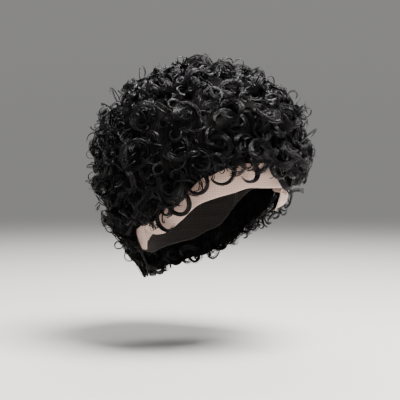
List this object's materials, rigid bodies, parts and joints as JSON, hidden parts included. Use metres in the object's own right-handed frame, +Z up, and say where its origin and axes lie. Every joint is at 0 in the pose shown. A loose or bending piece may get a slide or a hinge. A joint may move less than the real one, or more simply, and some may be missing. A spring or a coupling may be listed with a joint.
{
  "type": "curly pixie wig",
  "caption": "Short curly lace-front wig in its worn form: a stretch cap open below, a lace hairline, lace ear tabs, and tight black curls that stand well off the head and taper to the nape.",
  "frame": {"origin": "the top of the head's crown, inside the cap, where the wig sits on a head", "axes": "+Z up, away from the head; -Y to the front, towards the hairline; +X to the wearer's left"},
  "size_m": [0.2372, 0.2697, 0.2302],
  "materials": {
    "cap_net": "matte",
    "lace": "matte",
    "hair": "satin"
  },
  "bodies": {
    "root": {"cap_crown": "cap_net", "cap_front": "cap_net", "cap_side_left": "cap_net", "cap_back": "cap_net", "cap_nape": "cap_net", "cap_side_right": "cap_net", "lace_front": "lace", "ear_tab_right": "lace", "ear_tab_left": "lace", "crown_hair": "hair", "fringe_hair": "hair", "back_hair": "hair"}
  },
  "joints": []
}
